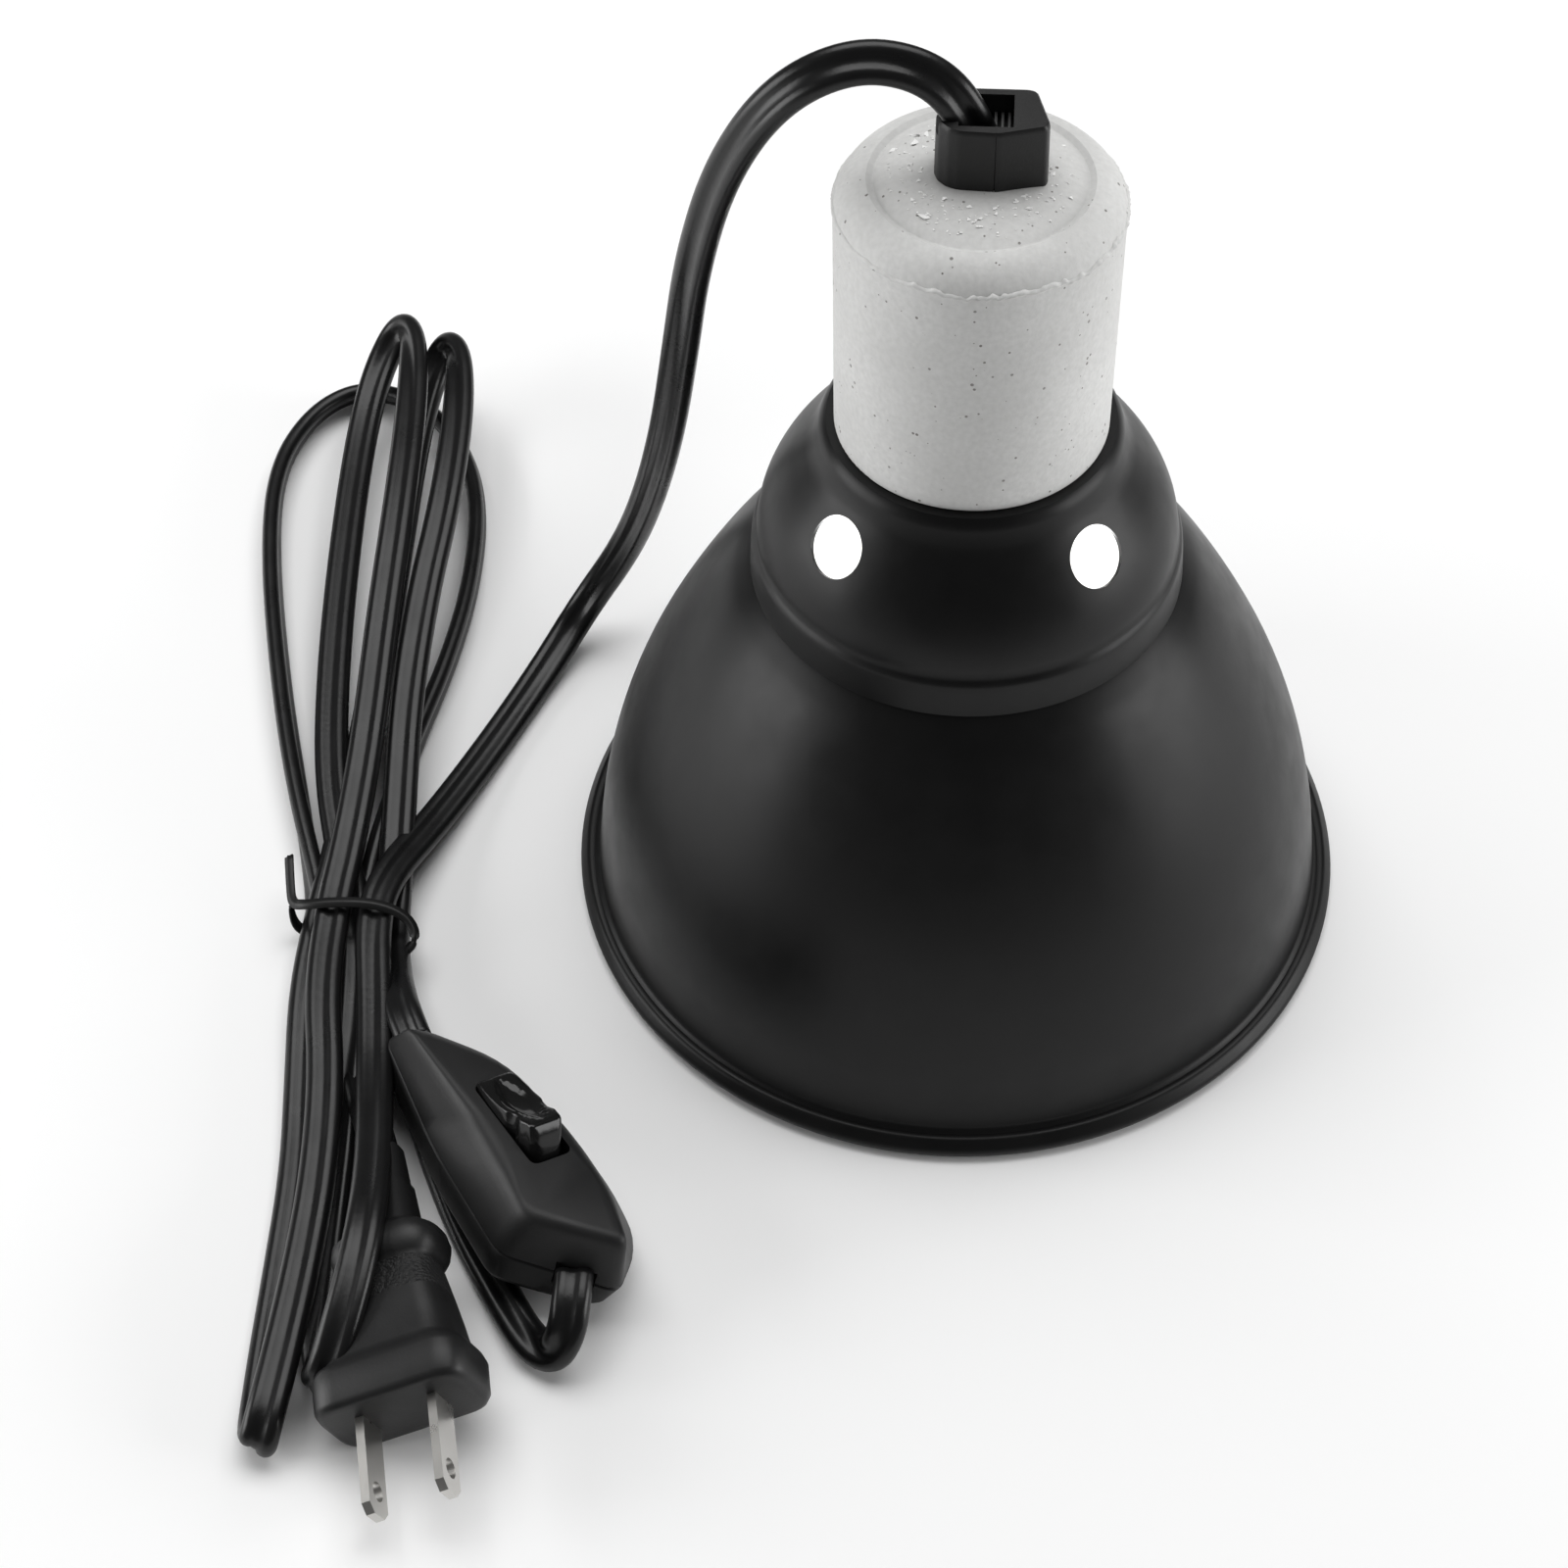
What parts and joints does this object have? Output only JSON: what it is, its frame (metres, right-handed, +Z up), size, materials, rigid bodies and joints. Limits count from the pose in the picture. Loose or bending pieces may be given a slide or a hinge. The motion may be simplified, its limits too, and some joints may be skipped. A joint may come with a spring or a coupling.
{
  "type": "heat lamp fixture",
  "caption": "Black dome heat lamp with a vented cap, ceramic lampholder and strain relief, and a flat tied cord with an in-line rocker switch and a two-blade plug.",
  "frame": {"origin": "middle of the dome's rim, on the plane the rim stands on", "axes": "+Z up along the dome's axis, the lamp cord leaves towards -X, the plug lies towards -Y"},
  "size_m": [0.217, 0.2746, 0.1804],
  "materials": {
    "black_enamel": "satin",
    "porcelain": "matt, dark-speckled",
    "zinc_steel": "zinc plated",
    "shell_metal": "bright",
    "contact_brass": "bright",
    "core_insulation": "satin",
    "black_nylon": "fine grain",
    "switch_casing": "satin",
    "rocker_gloss": "gloss",
    "plug_vinyl": "satin",
    "nickel_blades": "nickel plated",
    "cord_vinyl": "satin",
    "tie_plastic": "satin"
  },
  "bodies": {
    "lamp": {"reflector_dome": "black_enamel", "vent_cap": "black_enamel", "lampholder_body": "porcelain", "lampholder_lid": "porcelain", "retaining_ring": "zinc_steel", "retaining_screws": "zinc_steel", "screw_shell": "shell_metal", "shell_rivets": "contact_brass", "contact_root": "contact_brass", "contact_rivet": "contact_brass", "line_terminal": "contact_brass", "shell_terminal": "contact_brass", "terminal_screws": "zinc_steel", "line_wire": "core_insulation", "neutral_wire": "core_insulation", "cord_nipple": "zinc_steel", "lock_nut": "zinc_steel", "strain_relief_left": "black_nylon", "strain_relief_right": "black_nylon", "switch_upper_shell": "switch_casing", "switch_lower_cover": "switch_casing", "switch_cover_screws": "zinc_steel", "switch_pivot_pin": "zinc_steel", "switch_fulcrum": "contact_brass", "switch_fixed_contact": "contact_brass", "switch_neutral_link": "contact_brass", "switch_terminal_screws": "zinc_steel", "plug_body": "plug_vinyl", "plug_blades": "nickel_blades", "cord_lead": "cord_vinyl", "cord_switch_loop": "cord_vinyl", "cord_switch_inlet": "cord_vinyl", "cord_plug_tail": "cord_vinyl", "cord_hank": "cord_vinyl", "twist_tie": "tie_plastic"},
    "rocker": {"switch_rocker": "rocker_gloss", "switch_plunger": "contact_brass", "switch_spring": "zinc_steel"},
    "contact_arm": {"switch_contact_arm": "contact_brass"},
    "contact_leaf": {"centre_contact": "contact_brass"}
  },
  "joints": [
    {"name": "rocker_press", "type": "hinge", "parent": "lamp", "child": "rocker", "pos_m": [-0.07122, -0.07943, 0.01646], "axis": [0.74, 0.5974, -0.309], "range_deg": [0, 30]},
    {"name": "contact_arm_tilt", "type": "hinge", "parent": "lamp", "child": "contact_arm", "pos_m": [-0.07317, -0.081, 0.00876], "axis": [-0.74, -0.5974, 0.309], "range_deg": [0, 16]},
    {"name": "centre_contact_flex", "type": "hinge", "parent": "lamp", "child": "contact_leaf", "pos_m": [-0.0018, 0, 0.1317], "axis": [0, -1, 0], "range_deg": [0, 8], "stiffness_Nm_per_rad": 0.05}
  ],
  "couplings": [
    {"joint": "contact_arm_tilt", "follows": "rocker_press", "ratio": 0.53333}
  ]
}
